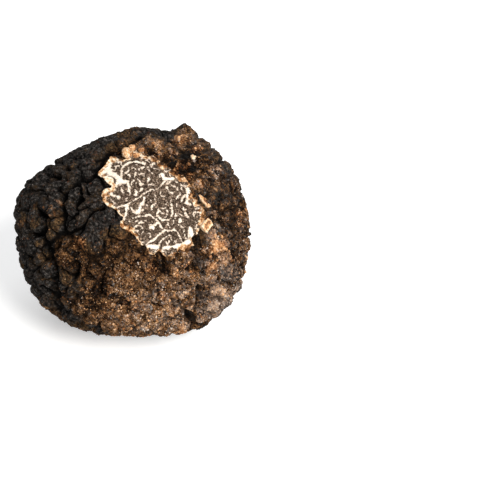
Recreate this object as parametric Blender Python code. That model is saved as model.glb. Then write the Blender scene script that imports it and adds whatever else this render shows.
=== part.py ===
"""A black truffle: one solid, warty all over, with a shaved window in front and a flat spot to rest on.

Run with: blender --background --python part.py
Units are metres, +Z is up, and the front of the truffle faces -Y. The origin is the centre of the
bounding box's bottom, on the flat spot.
"""

import math
import random

import bmesh
import bpy
from mathutils import Vector

# The overall ball, before its lobes and warts.
HALF_WIDTH = 0.0234
HALF_DEPTH = 0.0228
HALF_HEIGHT = 0.0205

# Directions are (azimuth, elevation) in degrees: azimuth 0 is the front and 90 is the right-hand side.
# Each lobe is (name, direction, half-angle in degrees, height as a share of the radius).
LOBES = (
    ("lower right shoulder", (55, -35), 35, 0.11),
    ("lower left shoulder", (-55, -40), 30, 0.06),
    ("upper right shoulder", (125, 35), 30, 0.07),
    ("left cheek", (-100, 20), 20, 0.07),
    ("upper left flat", (-130, 45), 30, -0.08),
    ("front chin flat", (0, -55), 20, -0.04),
    ("back lobe", (170, -20), 35, 0.05),
)

# Warts cover the skin as many-sided cells with narrow valleys between them.
WART_COUNT = 600
WART_SEED = 11
WART_SHAKE = 0.034  # how far a centre strays from the even spiral, on a unit sphere
WART_LEFT_OUT = 0.12  # share of the centres left out, so that their neighbours grow wider
WART_HEIGHT = 0.00060
WART_HEIGHT_SPREAD = 0.35
WART_PEAK = 0.00030  # how far the middle of a wart stands over its shoulders
VALLEY_SHARE = 0.27  # width of a wart's sloping side, as a share of its own width

# A pointed flake of skin stands up at the back of the top.
SPUR_DIRECTION = (140, 45)
SPUR_HEIGHT = 0.0015
SPUR_CLEARANCE = 0.14  # no other wart centre this near, on a unit sphere

# The knife that opened the window followed a shallow arc over the upper front.
WINDOW_DIRECTION = (20, 55)
WINDOW_TILT = -50  # slope of the arc in degrees, seen from outside: it runs down to the right
WINDOW_ARC_RADIUS = 0.035
WINDOW_DEPTH = 0.0015  # below the wart tops

# The spot that the truffle rests on is pressed flat.
REST_DEPTH = 0.0011

SKIN_COLOUR = (0.055, 0.042, 0.034, 1.0)

UP = Vector((0, 0, 1))
GOLDEN_ANGLE = math.pi * (3 - math.sqrt(5))


def toward(azimuth, elevation):
    """Unit vector of a direction given in degrees."""
    turn, rise = math.radians(azimuth), math.radians(elevation)
    flat = math.cos(rise)
    return Vector((math.sin(turn) * flat, -math.cos(turn) * flat, math.sin(rise)))


def ball_point(direction):
    """Point of the smooth, lobed ball in a direction of the unit sphere."""
    swell = 1.0
    for _, where, half_angle, height in LOBES:
        angle = direction.angle(toward(*where))
        swell += height * math.exp(-((angle / math.radians(half_angle)) ** 2))
    return Vector((direction.x * HALF_WIDTH, direction.y * HALF_DEPTH, direction.z * HALF_HEIGHT)) * swell


def wart_centres():
    """Unit directions of the warts: an even spiral, shaken, with some centres left out."""
    rng = random.Random(WART_SEED)
    spur = toward(*SPUR_DIRECTION)
    centres = [spur]
    for i in range(WART_COUNT):
        height = 1 - (2 * i + 1) / WART_COUNT
        ring = math.sqrt(1 - height * height)
        turn = i * GOLDEN_ANGLE
        even = Vector((ring * math.cos(turn), ring * math.sin(turn), height))
        shaken = even + Vector([rng.uniform(-WART_SHAKE, WART_SHAKE) for _ in range(3)])
        kept = rng.random() > WART_LEFT_OUT
        if kept and (shaken.normalized() - spur).length > SPUR_CLEARANCE:
            centres.append(shaken.normalized())
    return centres


def wart_cells():
    """A closed ball of many-sided faces, one round each wart centre, on the unit sphere."""
    cells = bmesh.new()
    centres = [cells.verts.new(centre) for centre in wart_centres()]
    bmesh.ops.convex_hull(cells, input=centres)
    between_centres = list(cells.edges)
    bmesh.ops.poke(cells, faces=list(cells.faces))
    bmesh.ops.rotate_edges(cells, edges=between_centres)
    bmesh.ops.dissolve_verts(cells, verts=centres)
    return cells


def raise_warts(skin):
    """Each cell gets sloping sides, a shoulder and a low peak, and stands at its own height."""
    rng = random.Random(WART_SEED + 1)
    spur = ball_point(toward(*SPUR_DIRECTION))
    peaks = []
    for cell in list(skin.faces):
        width = 2 * math.sqrt(cell.calc_area() / math.pi)
        height = WART_HEIGHT * (1 + rng.uniform(-WART_HEIGHT_SPREAD, WART_HEIGHT_SPREAD))
        is_spur = (cell.calc_center_median() - spur).length < width / 3
        bmesh.ops.inset_individual(
            skin, faces=[cell], thickness=width * VALLEY_SHARE / 2, depth=height, use_even_offset=True
        )
        peaks.append((cell, WART_PEAK + SPUR_HEIGHT if is_spur else WART_PEAK))
    for cell, peak in peaks:
        bmesh.ops.poke(skin, faces=[cell], offset=peak)


def press_flat(skin):
    """Cuts the underside level, which leaves the flat spot."""
    lowest = min(vert.co.z for vert in skin.verts)
    everything = [*skin.verts, *skin.edges, *skin.faces]
    cut = bmesh.ops.bisect_plane(
        skin, geom=everything, plane_co=UP * (lowest + REST_DEPTH), plane_no=-UP, clear_outer=True
    )
    rim = [edge for edge in cut["geom_cut"] if isinstance(edge, bmesh.types.BMEdge)]
    bmesh.ops.holes_fill(skin, edges=rim)


def material(name, colour, roughness):
    made = bpy.data.materials.new(name)
    made.use_nodes = True
    shader = made.node_tree.nodes["Principled BSDF"]
    shader.inputs["Base Color"].default_value = colour
    shader.inputs["Roughness"].default_value = roughness
    shader.inputs["Metallic"].default_value = 0.0
    return made


def new_collection(name):
    made = bpy.data.collections.new(name)
    bpy.context.scene.collection.children.link(made)
    return made


def make_truffle(collection):
    skin = wart_cells()
    for vert in skin.verts:
        vert.co = ball_point(vert.co.normalized())
    skin.normal_update()
    raise_warts(skin)
    press_flat(skin)
    bmesh.ops.triangulate(skin, faces=list(skin.faces))
    bmesh.ops.recalc_face_normals(skin, faces=list(skin.faces))
    mesh = bpy.data.meshes.new("truffle")
    skin.to_mesh(mesh)
    skin.free()
    truffle = bpy.data.objects.new("truffle", mesh)
    truffle.data.materials.append(material("truffle_skin", SKIN_COLOUR, 0.75))
    collection.objects.link(truffle)
    return truffle


def make_window_arc(collection):
    """A wide drum whose rim follows the knife's path. What lies outside the drum is shaved off."""
    outward = toward(*WINDOW_DIRECTION)
    sideways = UP.cross(outward).normalized()
    upward = outward.cross(sideways)
    tilt = math.radians(WINDOW_TILT)
    across = (upward * math.cos(tilt) - sideways * math.sin(tilt)).normalized()
    surface = ball_point(outward)
    rim = surface + outward * (WART_HEIGHT + WART_PEAK - WINDOW_DEPTH)
    bpy.ops.mesh.primitive_cylinder_add(
        vertices=160,
        radius=WINDOW_ARC_RADIUS,
        depth=4 * HALF_WIDTH,
        location=rim - outward * WINDOW_ARC_RADIUS,
        rotation=across.to_track_quat("Z", "Y").to_euler(),
    )
    drum = bpy.context.object
    drum.name = "window_arc"
    drum.hide_render = True
    drum.display_type = "WIRE"
    for other in drum.users_collection:
        other.objects.unlink(drum)
    collection.objects.link(drum)
    return drum


def shave_window(truffle, drum):
    shave = truffle.modifiers.new("window", "BOOLEAN")
    shave.operation = "INTERSECT"
    shave.solver = "EXACT"
    shave.object = drum


def stand_on_origin(truffle, drum):
    """Moves the truffle and its cutter so that the origin is the centre of the box's bottom."""
    bpy.context.view_layer.update()
    evaluated = truffle.evaluated_get(bpy.context.evaluated_depsgraph_get())
    points = [vert.co for vert in evaluated.data.vertices]
    low = Vector(map(min, zip(*points)))
    high = Vector(map(max, zip(*points)))
    foot = Vector(((low.x + high.x) / 2, (low.y + high.y) / 2, low.z))
    truffle.location = -foot
    drum.location -= foot


def main():
    for obj in list(bpy.data.objects):
        bpy.data.objects.remove(obj)
    parts = new_collection("black_truffle")
    cutters = new_collection("cutters")
    cutters.hide_render = True
    truffle = make_truffle(parts)
    drum = make_window_arc(cutters)
    shave_window(truffle, drum)
    stand_on_origin(truffle, drum)


main()
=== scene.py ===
"""The looks of the black truffle: warty skin, the shaved window over its veined flesh, and loose soil.

The skin is one closed mesh, worked out as a radius for every direction from the truffle's middle. Shapes are
computed in millimetres and turned into metres when a mesh is made. +Z is up and the front faces -Y.
"""

import itertools
import math
import random

import bmesh
import bpy
import numpy as np
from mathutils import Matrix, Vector

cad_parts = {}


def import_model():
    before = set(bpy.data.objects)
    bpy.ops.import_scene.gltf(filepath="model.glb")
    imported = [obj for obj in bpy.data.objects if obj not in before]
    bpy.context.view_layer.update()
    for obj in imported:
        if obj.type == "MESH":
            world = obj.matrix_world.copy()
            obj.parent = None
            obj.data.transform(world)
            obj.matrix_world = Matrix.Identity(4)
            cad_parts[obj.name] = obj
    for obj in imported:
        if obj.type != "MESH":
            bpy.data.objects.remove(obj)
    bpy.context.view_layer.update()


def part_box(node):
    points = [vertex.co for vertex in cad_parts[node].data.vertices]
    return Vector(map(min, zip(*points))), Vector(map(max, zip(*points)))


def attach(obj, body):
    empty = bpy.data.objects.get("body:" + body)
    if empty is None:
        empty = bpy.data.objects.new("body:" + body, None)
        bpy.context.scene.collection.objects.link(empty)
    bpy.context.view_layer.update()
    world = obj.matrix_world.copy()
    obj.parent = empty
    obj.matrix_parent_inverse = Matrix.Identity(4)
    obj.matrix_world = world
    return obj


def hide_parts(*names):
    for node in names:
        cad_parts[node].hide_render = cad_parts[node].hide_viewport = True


MM = 0.001

# The overall ball, in millimetres, as the CAD model has it.
HALF_SIZES = np.array([23.4, 22.8, 20.5])
MEAN_RADIUS = 22.5

# Directions are (azimuth, elevation) in degrees: azimuth 0 is the front and 90 is the right-hand side.
# Each lobe is (direction, half-angle in degrees, height as a share of the radius).
LOBES = (
    ((55, -35), 35, 0.11),    # lower right shoulder
    ((-55, -40), 30, 0.06),   # lower left shoulder
    ((125, 35), 30, 0.07),    # upper right shoulder
    ((-100, 20), 20, 0.07),   # left cheek
    ((-130, 45), 30, -0.08),  # upper left flat
    ((0, -55), 20, -0.04),    # front chin flat
    ((170, -20), 35, 0.05),   # back lobe
    ((155, 50), 10, -0.03),   # dip beside the flake on the top's far edge, too small for the CAD model
)

# Warts, in the same places as the CAD model's. Heights are over the smooth ball.
WART_COUNT = 600
WART_SEED = 11
WART_SHAKE = 0.034  # how far a centre strays from the even spiral, on a unit sphere
WART_LEFT_OUT = 0.12  # share of the centres left out, so that their neighbours grow wider
WART_HEIGHT = 0.95
WART_LEAN = 0.30
EDGE_WANDER = 0.46  # how far the outline of a wart strays from straight sides
GROOVE_WIDTH = 0.42
GROOVE_FLOOR = -0.75
SHALLOWEST_GROOVE = 0.08  # as a share of a full groove's depth
GROOVE_SOFTNESS = 0.14  # how gently a groove runs into the soil that fills it

# A low pointed flake stands on the top's far edge, steep on its left and sloping away on its right.
SPUR_DIRECTION = (140, 45)
SPUR_HEIGHT = 2.4
SPUR_LEFT_REACH = 1.8
SPUR_RIGHT_REACH = 8.5
SPUR_THICKNESS = 3.2  # its reach in every other direction
SPUR_LEAN = (-1.9, 0, 0)  # of the flake's tip from the middle of its wart
SPUR_CLEARANCE = 0.14  # no other wart centre this near, on a unit sphere

# The knife's arc over the window.
WINDOW_DIRECTION = (20, 55)
WINDOW_TILT = -50  # slope of the arc in degrees: it runs down to the right
WINDOW_ARC_RADIUS = 35.0
WINDOW_DEPTH = 1.5  # below the tops of the CAD model's warts
WINDOW_SPREAD = 50  # half-angle in degrees that holds the whole window
CAD_WART_TOP = 0.9  # over the smooth ball
VEIN_RISE = 0.05  # how far the veins stand out of the cut flesh
CUT_ROUGHNESS = 0.035

REST_DEPTH = 1.1  # how much of the underside is pressed flat

# The front is drawn as the camera sees it, looking down on it by this angle. Places are (right, up) of the
# truffle's middle.
VIEW_ELEVATION = 35

WINDOW_OUTLINE = (
    (-5, 5.5), (-5.5, 7), (-3.5, 9), (-6.5, 11.5), (-4, 16), (-1.5, 14.5), (0.5, 17.5), (3.5, 16), (7, 14),
    (9.5, 11.5), (13, 9), (13, 6.5), (15, 4), (15, 1), (13.5, -2.5), (8.5, -5.5), (4.5, -4.5), (1, -1),
    (-1, 1), (-1, 2.5),
)

TORN_MIDDLE = (0.5, -0.5)  # the rind is torn and not cut round here, at the window's lower left

# The main pale veins in the cut flesh: (width at the start, width at the end, points).
VEINS = (
    (0.45, 0.45, ((0, 5), (3.5, 7.5), (6, 8.5), (7.5, 10))),  # long vein across the middle
    (0.90, 1.10, ((7, 11.5), (7.5, 10.5), (9, 10.5))),  # pale knot at its head
    (0.90, 0.45, ((0, 5), (-3, 4.5))),  # two spokes where it starts
    (0.90, 0.45, ((0, 5), (-0.5, 2))),
    (0.45, 0.45, ((1, 2.5), (3.5, 3), (5.5, 2.5), (7.5, 0), (9.5, 0), (11, -2.5))),  # arch
    (0.45, 0.50, ((7.5, 0), (4, -3))),  # the arch's branch
    (0.50, 1.20, ((3.5, 6.5), (2, 3.5))),  # patch over the arch
    (0.60, 1.20, ((6, 1.5), (5, 0.5))),  # patch under it
    (0.90, 1.20, ((12, 8.5), (12, 6.5))),  # right-hand patch and its tail
    (0.80, 0.40, ((12, 6.5), (11.5, 5.5), (12.5, 5))),
    (1.40, 0.50, ((-2, 9.5), (0, 9.5), (0.5, 7))),  # knot under the upper lobe
    (1.70, 1.20, ((-4, 15.5), (-4, 12.5), (-2.5, 11), (-1.5, 10))),  # web at the upper left
    (1.30, 0.90, ((-4.5, 12.5), (-6, 11.5))),
    (0.90, 0.50, ((-4, 8), (-3, 7), (-1.5, 6.5))),  # web at the left
    (0.80, 1.60, ((12.5, 0.5), (13, -1.5))),  # lower right patch
    (1.20, 0.90, ((13, -1.5), (11, -3), (7.5, -3.5))),  # lower band
    (1.40, 1.20, ((4.5, -3.5), (6, -3.5))),
    (0.50, 0.40, ((6.5, -3), (7.5, -1.5), (8.5, -1), (9, -2))),  # vein in the lowest lobe
)

# The round ones: (width at the start, width at the end, middle, radius, first and last angle in degrees).
ROUND_VEINS = (
    (0.60, 0.80, (1.5, 11.5), 3.0, 205, 55),  # ring round the upper lobe
    (0.40, 0.50, (7.5, 3.5), 1.5, 200, 400),  # cup over the arch
    (0.60, 0.50, (14, 3), 0.8, 190, 0),  # hook at the right
)

VEIN_FULLNESS = 0.84  # real width of a vein as a share of the width it is given
VEIN_WANDER = 0.18  # how far a vein strays from its line

# Short worm-like veins fill the flesh between those, drawn by a random walk.
WORM_SEED = 23
WORM_SPACING = 0.80  # of a worm's start from every other vein
WORM_STEP = 0.38
WORM_CLEARANCE = 0.55  # of its later points from them
WORM_TURN = 0.9  # the sharpest turn at a step, in radians
WORM_WIDTHS = (0.22, 0.54)
WORM_TRIES = 2600

# Torn crumbs on and near the window's rim: (place in the window's plane, (length, width, thickness),
# turn in degrees, squareness from 0 to 1, how brown the middle is).
CHIPS = (
    ((16, 1), (2.7, 1.9, 0.9), 38, 0.8, 0.45),  # square chip on the right
    ((15, 6), (3.4, 1.1, 0.9), -39, 0.3, 0.5),  # long chip above it
    ((-0.5, 16), (1.6, 2.6, 1.2), 10, 0.1, 0.15),  # pale beads at the upper left
    ((0.5, 17), (1.4, 1.7, 1.0), -15, 0.1, 0.3),
    ((1.5, 15.5), (1.5, 1.1, 0.8), 20, 0.1, 0.3),
    ((2.5, 16.5), (1.1, 1.0, 0.8), 0, 0.1, 0.5),
    ((13, 15), (1.1, 1.4, 0.9), 5, 0.0, 0.0),  # pale grain behind the window
)
# A cluster of small orange crumbs below the window's right end.
CLUSTER_MIDDLE = (18, -4)
CLUSTER_SPREAD = 1.2
CLUSTER_COUNT = 16
CLUSTER_SIZES = (0.35, 0.80)
CLUSTER_BROWN = (0.20, 0.60)
CLUSTER_SEED = 5
CHIP_DETAIL = 4  # subdivisions of a crumb's ball

# Deep creases in the skin, as the camera sees them: (width, points).
CREASES = (
    (0.80, ((-7.5, 11), (-11, 9.5), (-13.5, 6.5), (-13.5, 3), (-13.5, -1), (-15.5, -4))),
    (0.95, ((-18, 3.5), (-17.5, 0.5), (-18, -1.5), (-16.5, -5), (-14.5, -9), (-15.5, -12), (-14.5, -16))),
    (0.60, ((-20.5, -1), (-18, -1))),
    (0.60, ((-13.5, 0), (-11, 0), (-8.5, 1.5), (-7.5, 3.5), (-5, 4.5))),
    (0.95, ((1.5, 19.5), (-3.5, 17), (-6, 14), (-8, 11))),
    (0.70, ((-17.5, 11), (-18, 8))),
    (0.50, ((-16.5, 10), (-14.5, 11))),
    (0.50, ((-10, 9), (-9.5, 6.5), (-11, 5.5), (-10.5, 3.5))),
    (0.45, ((-10, -6.5), (-11, -10))),
    (0.50, ((-5, -8.5), (-5.5, -13))),
    (0.60, ((7.5, -4.5), (7, -8))),
    (0.70, ((13.8, -1.5), (14, -5.5), (13, -7.5))),
    (0.55, ((14, -11.5), (14, -15), (12, -16.5))),
    (0.95, ((12, -17), (12, -18.5))),
)
CREASE_DEPTH = 1.1
CREASE_WANDER = 0.55  # how far a crease strays from its points

# Where soil cakes the skin: (direction, half-angle in degrees, amount).
SOIL_PATCHES = (
    ((14, -8), 45, 1.00),    # lower front
    ((68, 2), 34, 0.80),     # right-hand side
    ((105, 38), 36, 0.38),   # top right
    ((60, 82), 22, 0.62),    # top
    ((75, 55), 18, 0.62),    # beside the window's right end
    ((-45, -45), 26, 0.60),  # lower left
    ((-32, 22), 11, 0.70),   # below the window's left side
    ((175, -15), 40, 0.60),  # back
    ((-130, -30), 34, 0.35),
)
BARE_SOIL = 0.10  # on the skin between the patches
CLEAN_DIRECTION = (-100, 50)  # the skin round here carries less soil than anywhere
CLEAN_SPREAD = 38
CLEAN_AMOUNT = 0.35
SOIL_PATCHINESS = 0.30

# Where the soil is paler, or darker: (direction, half-angle in degrees, amount). The small dark spots are
# painted shade standing for hollows.
SOIL_TONE_AND_PAINTED_HOLLOWS = (
    ((42, -12), 34, 0.11),
    ((48, -26), 20, 0.11),
    ((5, -20), 30, 0.11),
    ((75, 14), 20, -0.10),
    ((82, 32), 26, -0.10),
    ((110, 45), 25, 0.03),
    ((60, 80), 25, 0.11),
    ((-25, 20), 22, -0.12),
    ((45, 15), 5, -0.32),   # painted shade: dark hollows
    ((39, 8), 4, -0.35),
    ((43, -38), 6, -0.45),
    ((-13, 2), 4, -0.45),
    ((-16, -8), 4, -0.35),
    ((17, 17), 4, -0.40),
    ((60, -12), 4, -0.30),
    ((-66, 79), 7, -0.30),
    ((60, 60), 5, -0.45),
    ((95, 55), 7, -0.30),
    ((62, -20), 5, 0.25),   # tan crusts
    ((33, -25), 6, 0.16),
    ((52, 17), 4, 0.28),
)

# Small marks on the front, as the camera sees them: (place, radius, how much paler, how much rustier). Marks
# with a strongly negative paleness are painted shade, and one mark is a painted highlight.
MARKS = (
    ((18, -3.5), 1.7, 0.34, 1.0),  # orange crumbs below the window's right end
    ((16.5, -7.5), 1.2, 0.18, 0.8),
    ((18.5, -6), 0.8, 0.10, 0.4),
    ((11.5, -7), 0.8, 0.08, 0.7),
    ((5, -7), 1.0, 0.06, 0.8),
    ((7, -12.5), 0.9, 0.08, 0.5),
    ((10.5, -20), 1.0, 0.12, 0.7),
    ((18.5, -12.5), 1.3, 0.45, 0.2),  # tan crust low on the right
    ((9.5, -16), 0.7, 0.25, 0.1),
    ((-9.5, -2.5), 1.3, 0.14, 0.7),  # orange and olive soil left of the window's lower end
    ((-15.5, 4), 2.2, 0.10, 0.2),
    ((-14.5, 6), 0.5, 0.30, 0.4),
    ((10, 18.5), 1.0, 0.18, 0.5),  # brown patches at the top right
    ((13.5, 16.5), 0.9, 0.18, 0.5),
    ((8.5, 15.5), 0.9, 0.15, 0.3),
    ((11, 13), 0.8, 0.20, 0.7),
    ((17, 12), 1.3, 0.15, 0.2),
    ((22, 3.5), 0.9, 0.28, 0.8),
    ((22.5, 1.5), 0.9, 0.25, 0.8),
    ((9.5, 12), 0.7, 0.15, 0.8),  # fringe of the window's upper edge
    ((12, 11), 0.7, 0.15, 0.8),
    ((14, 9.5), 0.7, 0.15, 0.8),
    ((-5.5, 1.5), 3.0, -0.08, 0.0),  # dark skin by the window's lower left
    ((8.5, 13), 0.7, -0.50, 0.0),  # painted shade: black hollows
    ((12.5, 12.5), 0.9, -0.50, 0.0),
    ((11, 15), 1.2, -0.35, 0.0),
    ((4, 16), 0.8, -0.40, 0.0),
    ((12.5, -18), 1.3, -0.60, 0.0),
    ((14, -18.5), 0.5, 0.30, 0.0),  # painted highlight beside the lowest black hollow
    ((14.5, -12), 0.9, -0.35, 0.0),
    ((15.5, -4), 0.8, 0.30, 0.3),  # tan lumps below the window's right end
    ((12, -4), 1.0, 0.28, 0.2),
    ((16.5, -1), 0.9, 0.25, 0.3),
)
MARK_WANDER = 0.45  # how far a mark's edge strays from a circle

# The skin is worn smoother round here.
WORN_DIRECTION = (110, 42)
WORN_SPREAD = 40

# The soil turns greyer between these two places, in millimetres to the right of the middle.
GREYER_FROM, GREYEST_AT = 5.0, 20.0

# Loose soil: (name, number of grains, range of sizes, subdivisions, share on bare skin, seed).
LOOSE_SOIL = (
    ("soil_dust", 20000, (0.20, 0.38), 0, 0.20, 41),
    ("soil_grains", 18000, (0.28, 0.60), 0, 0.10, 42),
    ("soil_crumbs", 5000, (0.45, 0.95), 1, 0.02, 43),
)
LARGEST_PAINTED_GLINT = 0.40  # only grains smaller than this are painted as glints: pale, partly as pale sand grains and partly as painted highlights

# Grey, brown and orange grains, each from the darkest to the palest.
GRAIN_STOPS = (0.20, 0.45, 0.65, 0.85, 1.00)
GRAIN_COLOURS = (
    ((0.006, 0.006, 0.006), (0.026, 0.023, 0.021), (0.080, 0.070, 0.064), (0.240, 0.205, 0.180),
     (0.560, 0.480, 0.410)),
    ((0.006, 0.004, 0.003), (0.035, 0.018, 0.008), (0.125, 0.061, 0.027), (0.330, 0.175, 0.085),
     (0.700, 0.460, 0.280)),
    ((0.008, 0.004, 0.002), (0.055, 0.021, 0.008), (0.170, 0.068, 0.024), (0.440, 0.190, 0.070),
     (0.780, 0.440, 0.210)),
)

# Caked soil breaks into clods, each with its own lightness and greyness, with gaps between them that are sunk
# and also painted darker as painted shade.
CLOD_SIZE = 2.3
CLOD_BEND = 0.5  # how far a clod's sides stray from straight ones
CLOD_CONTRAST = 0.26
CLOD_GREYNESS = 1.3
CLOD_GAP_SHADE = 0.24
CLOD_GAP_DEPTH = 0.25

# Relief that is smaller than the warts.
KNOB_SIZE = 1.25
GRIT_SIZE = 0.62
PIT_SIZE = 1.5
PIT_DEPTH = 0.45
# Painted shade: pits are also painted darker by the next amount.
PIT_SHADE = 0.42

BODY_DETAIL = 8  # subdivisions of the ball that becomes the truffle
MAX_TRIANGLES = 197000  # that are left of it

LENS = 150.0
SENSOR = 36.0
FRAME_WIDTH = 101.3  # of the camera's view, through the truffle's middle
VIEW_SHIFT = (22.7, -2.4)  # how far right and up of the truffle's middle the camera aims

# Soft lights: (name, azimuth, elevation, strength, angle across in degrees, colour).
SUNS = (
    ("key", 38, 38, 4.0, 30, (1.0, 0.98, 0.95)),
    ("back", 170, 60, 1.1, 60, (0.96, 0.98, 1.0)),
)
FILL_STRENGTH = 0.25  # of the white surround as a light
BACKDROP_STRENGTH = 1.05  # of the same surround as the camera sees it
FLOOR_SIZE = 6.0  # in metres
FLOOR_GAP = 0.00005  # in metres, so that the floor and the flat spot are not in one plane
FLOOR_COLOUR = (0.80, 0.80, 0.80)
FLOOR_GLOW = 0.45  # keeps the shadow on the floor pale


def toward(azimuth, elevation):
    """Unit vector of a direction given in degrees."""
    turn, rise = math.radians(azimuth), math.radians(elevation)
    flat = math.cos(rise)
    return np.array([math.sin(turn) * flat, -math.cos(turn) * flat, math.sin(rise)])


VIEW_RIGHT = np.array([1.0, 0.0, 0.0])
VIEW_OUT = toward(0, VIEW_ELEVATION)
VIEW_UP = np.cross(VIEW_OUT, VIEW_RIGHT)


def unit(vectors):
    return vectors / np.linalg.norm(vectors, axis=-1, keepdims=True)


def smoothstep(low, high, values):
    """Smooth rise from 0 to 1 as the values pass from low to high."""
    part = np.clip((values - low) / (high - low), 0, 1)
    return part * part * (3 - 2 * part)


def in_view_plane(points):
    """Places of points as the camera sees them, (right, up) of the middle."""
    return np.stack([points @ VIEW_RIGHT, points @ VIEW_UP], axis=1)


def nearness(even, where, half_angle, power=2):
    """1 in one direction of the unit sphere, fading to 0 past a half-angle in degrees."""
    angle = np.arccos(np.clip(even @ toward(*where), -1, 1))
    return np.exp(-((angle / math.radians(half_angle)) ** power))


# ---- Noise ----
# Each use has a seed of its own, so that no two patterns match.


def scramble(cells, seed):
    """A number from 0 to 1 for each cell of a whole-number lattice."""
    x, y, z = (cells[..., axis].astype(np.uint32) for axis in range(3))
    mixed = x * np.uint32(374761393) + y * np.uint32(668265263) + z * np.uint32(2246822519)
    mixed = mixed + np.uint32((seed * 3266489917) % 2**32)
    mixed = (mixed ^ (mixed >> np.uint32(13))) * np.uint32(1274126177)
    mixed = (mixed ^ (mixed >> np.uint32(16))) * np.uint32(2654435769)
    mixed = mixed ^ (mixed >> np.uint32(15))
    return mixed / 4294967295.0


def smooth_noise(points, size, seed):
    """Smooth noise from -1 to 1, with lumps about `size` millimetres wide."""
    scaled = points / size
    base = np.floor(scaled)
    part = scaled - base
    blend = part**3 * (part * (part * 6 - 15) + 10)
    base = base.astype(np.int64)
    total = np.zeros(len(points))
    for corner in itertools.product((0, 1), repeat=3):
        weight = np.prod(np.where(corner, blend, 1 - blend), axis=1)
        total += weight * scramble(base + np.array(corner), seed)
    return total * 2 - 1


def layered_noise(points, size, layers, seed):
    """Several layers of smooth noise, each half the size and strength of the one before."""
    total = np.zeros(len(points))
    for layer in range(layers):
        total += smooth_noise(points, size / 2**layer, seed + layer) / 2**layer
    return total


def noise_shift(points, size, layers, seed, seed_step, axes=2):
    """A wandering shift of each point, with its own layered noise along each axis."""
    seeds = [seed + seed_step * axis for axis in range(axes)]
    return np.stack([layered_noise(points, size, layers, own) for own in seeds], axis=1)


def crumb_noise(points, size, seed):
    """Cells about `size` wide: (distance to the cell's middle, to its edge, the cell's own number)."""
    scaled = points / size
    base = np.floor(scaled).astype(np.int64)
    nearest = np.full(len(points), 9.0)
    second = np.full(len(points), 9.0)
    own = np.zeros(len(points))
    for offset in itertools.product((-1, 0, 1), repeat=3):
        cell = base + np.array(offset)
        middle = cell + np.stack([scramble(cell, seed + axis) for axis in range(3)], axis=1)
        distance = np.linalg.norm(scaled - middle, axis=1)
        closer = distance < nearest
        second = np.where(closer, nearest, np.minimum(second, distance))
        own = np.where(closer, scramble(cell, seed + 5), own)
        nearest = np.where(closer, distance, nearest)
    return nearest, (second - nearest) / 2, own


# ---- The skin's shape ----


def ball_direction(directions):
    """The direction on the unit sphere that the stretched ball carries to each true direction."""
    return unit(directions / HALF_SIZES)


def ball_radius(directions):
    """Radius of the smooth, lobed ball in each true direction."""
    even = ball_direction(directions)
    swell = np.ones(len(even))
    for where, half_angle, height in LOBES:
        swell += height * nearness(even, where, half_angle)
    return np.linalg.norm(even * HALF_SIZES, axis=1) * swell


def wart_centres():
    """Unit directions of the warts, drawn exactly as the CAD model draws them."""
    rng = random.Random(WART_SEED)
    golden_angle = math.pi * (3 - math.sqrt(5))
    spur = Vector(toward(*SPUR_DIRECTION))
    centres = [spur]
    for i in range(WART_COUNT):
        height = 1 - (2 * i + 1) / WART_COUNT
        ring = math.sqrt(1 - height * height)
        turn = i * golden_angle
        even = Vector((ring * math.cos(turn), ring * math.sin(turn), height))
        shaken = even + Vector([rng.uniform(-WART_SHAKE, WART_SHAKE) for _ in range(3)])
        kept = rng.random() > WART_LEFT_OUT
        if kept and (shaken.normalized() - spur).length > SPUR_CLEARANCE:
            centres.append(shaken.normalized())
    return np.array(centres)


CENTRES = wart_centres()


def nearest_warts(even, count=6, chunk=40000):
    """Numbers of the nearest warts to each direction, nearest first."""
    found = []
    for start in range(0, len(even), chunk):
        closeness = even[start : start + chunk] @ CENTRES.T
        best = np.argpartition(-closeness, count, axis=1)[:, :count]
        order = np.argsort(-np.take_along_axis(closeness, best, axis=1), axis=1)
        found.append(np.take_along_axis(best, order, axis=1))
    return np.concatenate(found)


def soil_amount(directions, points):
    """How thickly soil lies on the skin, 0 to 1."""
    even = ball_direction(directions)
    amount = np.full(len(even), BARE_SOIL)
    for where, half_angle, thickness in SOIL_PATCHES:
        amount = np.maximum(amount, thickness * nearness(even, where, half_angle, 4))
    patchy = SOIL_PATCHINESS * layered_noise(points, 5.5, 4, 31)
    clean = CLEAN_AMOUNT * nearness(even, CLEAN_DIRECTION, CLEAN_SPREAD, 4)
    return np.clip(amount + patchy - clean, 0, 1)


def soil_tone_and_painted_hollows(directions):
    """How much paler (above 0) or darker (below 0) the soil is than usual; the small dark spots are painted
    shade.
    """
    even = ball_direction(directions)
    total = np.zeros(len(even))
    for where, half_angle, amount in SOIL_TONE_AND_PAINTED_HOLLOWS:
        total += amount * nearness(even, where, half_angle)
    return total


def mark_amounts(points):
    """How much paler and how much rustier the marks make each point; the darkest marks are painted shade, and
    one is a painted highlight.
    """
    tone_and_painted_light, rust = np.zeros(len(points)), np.zeros(len(points))
    front = np.flatnonzero(points @ VIEW_OUT > 0)
    flat = in_view_plane(points[front]) + MARK_WANDER * noise_shift(points[front], 1.4, 3, 420, 9)
    for place, radius, paler, rustier in MARKS:
        mark = np.exp(-((np.linalg.norm(flat - place, axis=1) / radius) ** 4))
        tone_and_painted_light[front] += paler * mark
        rust[front] = np.maximum(rust[front], rustier * mark)
    return tone_and_painted_light, rust


def wart_numbers(seed):
    """A number from 0 to 1 for each wart."""
    return scramble(np.repeat(np.arange(len(CENTRES))[:, None], 3, axis=1), seed)


def spur_height(points):
    """Height of the pointed flake over the warts round it."""
    outward = unit(toward(*SPUR_DIRECTION) * HALF_SIZES + SPUR_LEAN)
    tip = outward * ball_radius(outward[None])[0]
    away = points - tip
    reach = np.where(away[:, 0] < 0, SPUR_LEFT_REACH, SPUR_RIGHT_REACH)
    distance = np.hypot(away[:, 0] / reach, np.linalg.norm(away[:, 1:], axis=1) / SPUR_THICKNESS)
    return SPUR_HEIGHT * np.clip(1 - distance, 0, 1) ** 1.3


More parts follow.
